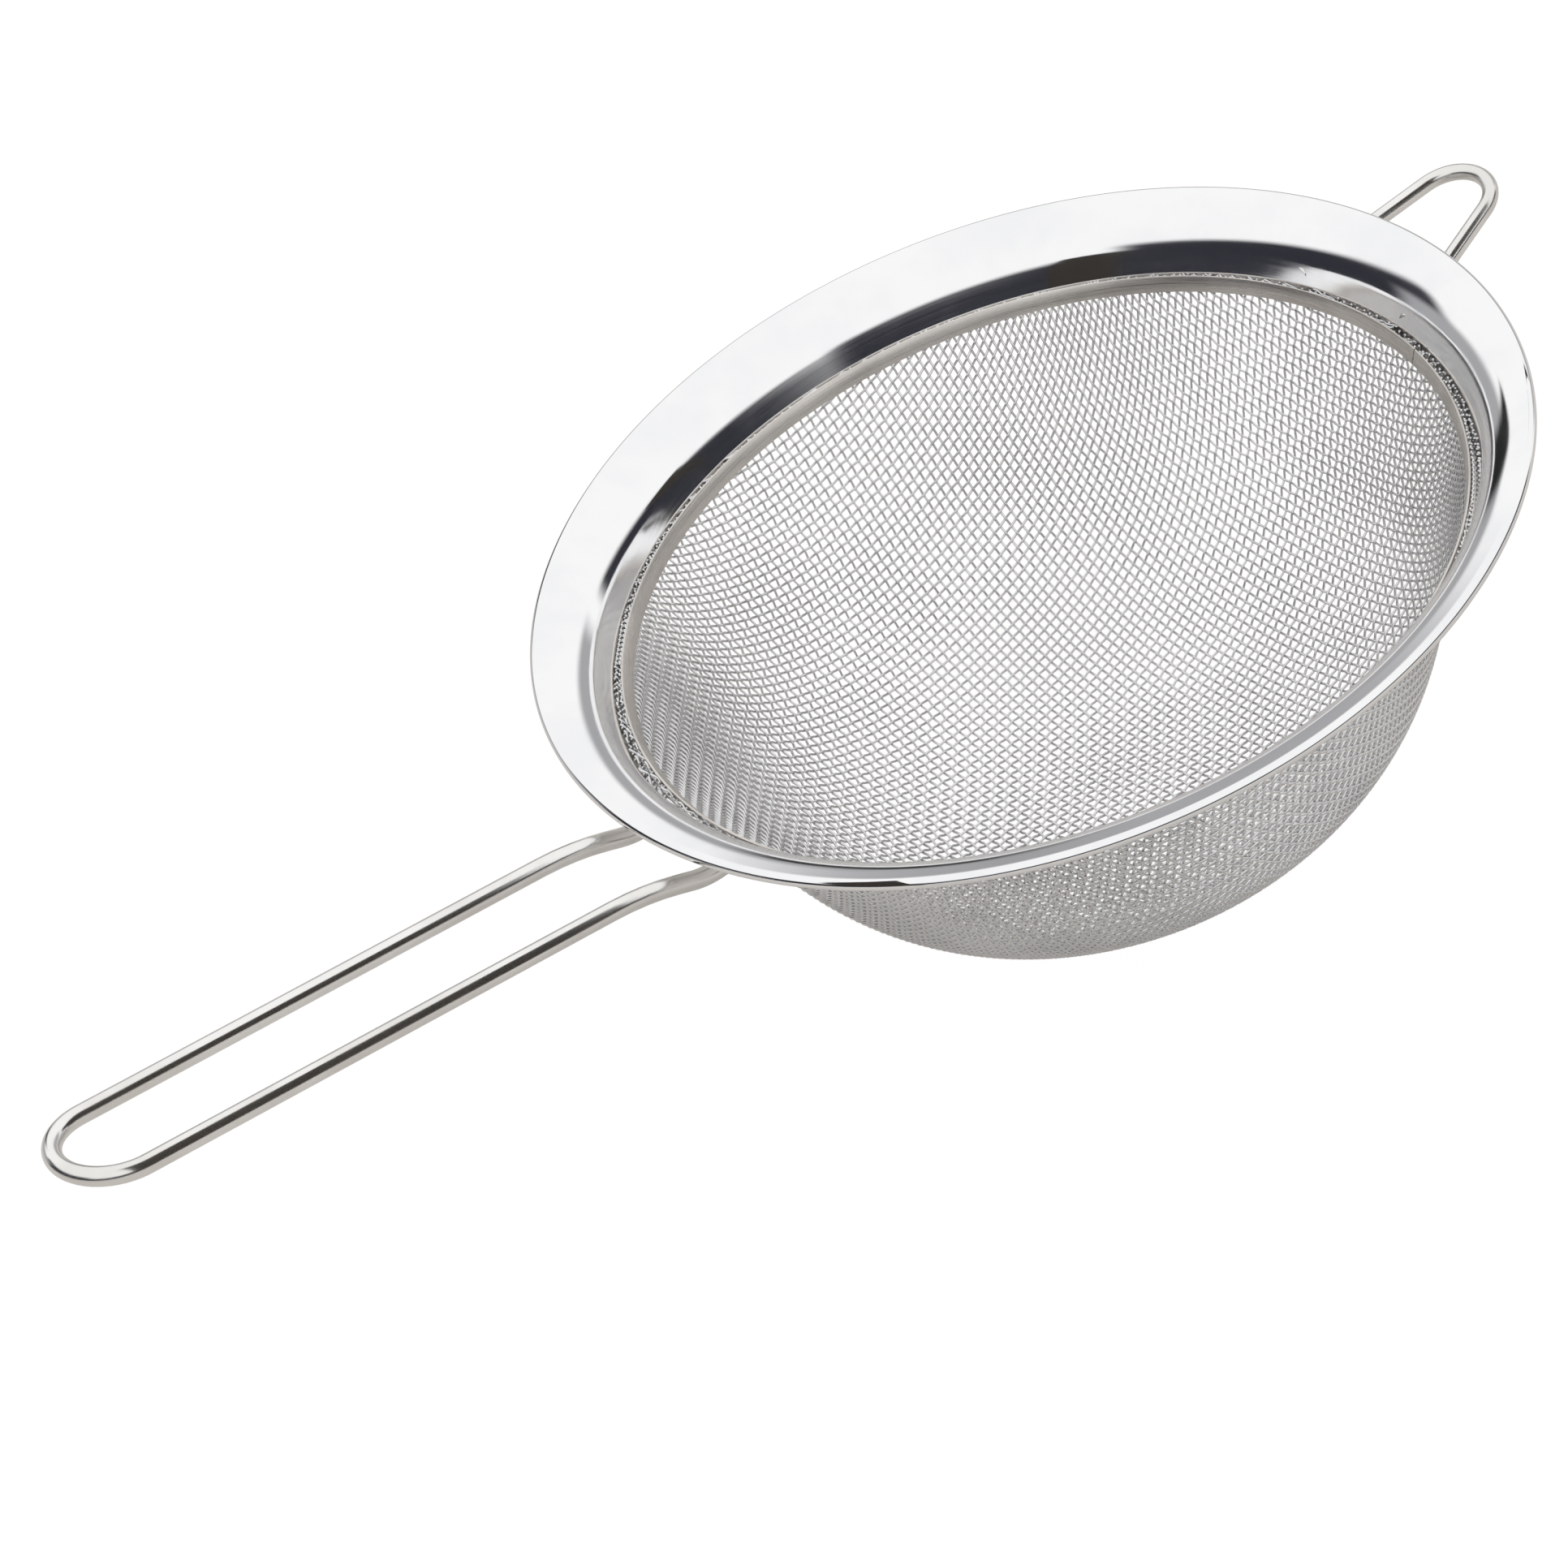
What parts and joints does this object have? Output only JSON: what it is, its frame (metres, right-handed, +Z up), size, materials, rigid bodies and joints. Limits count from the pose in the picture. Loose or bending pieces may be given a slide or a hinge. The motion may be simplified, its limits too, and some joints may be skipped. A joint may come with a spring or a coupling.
{
  "type": "strainer",
  "caption": "Round wire strainer with a deep woven cloth bowl, a dished rim with a rolled edge, a long bent wire handle and a short wire rest loop opposite it.",
  "frame": {"origin": "middle of the small flat under the bowl, which the strainer stands on", "axes": "+Z up out of the bowl's mouth; the rim lies level in XY; the handle points along -X and the rest loop along +X"},
  "size_m": [0.2833, 0.16, 0.0832],
  "materials": {
    "rim_steel": "mirror-polished stainless steel",
    "band_steel": "satin stainless strip with fine lines along it",
    "mesh_steel": "bright drawn stainless wire, plain weave",
    "wire_steel": "bright polished stainless rod",
    "weld_steel": "cleaned weld metal, slightly straw coloured"
  },
  "bodies": {
    "root": {"rim_flange": "rim_steel", "clamp_band": "band_steel", "mesh_bowl": "mesh_steel", "handle_wire": "wire_steel", "rest_loop_wire": "wire_steel", "handle_weld_left": "weld_steel", "handle_weld_right": "weld_steel", "rest_loop_weld_left": "weld_steel", "rest_loop_weld_right": "weld_steel"}
  },
  "joints": []
}
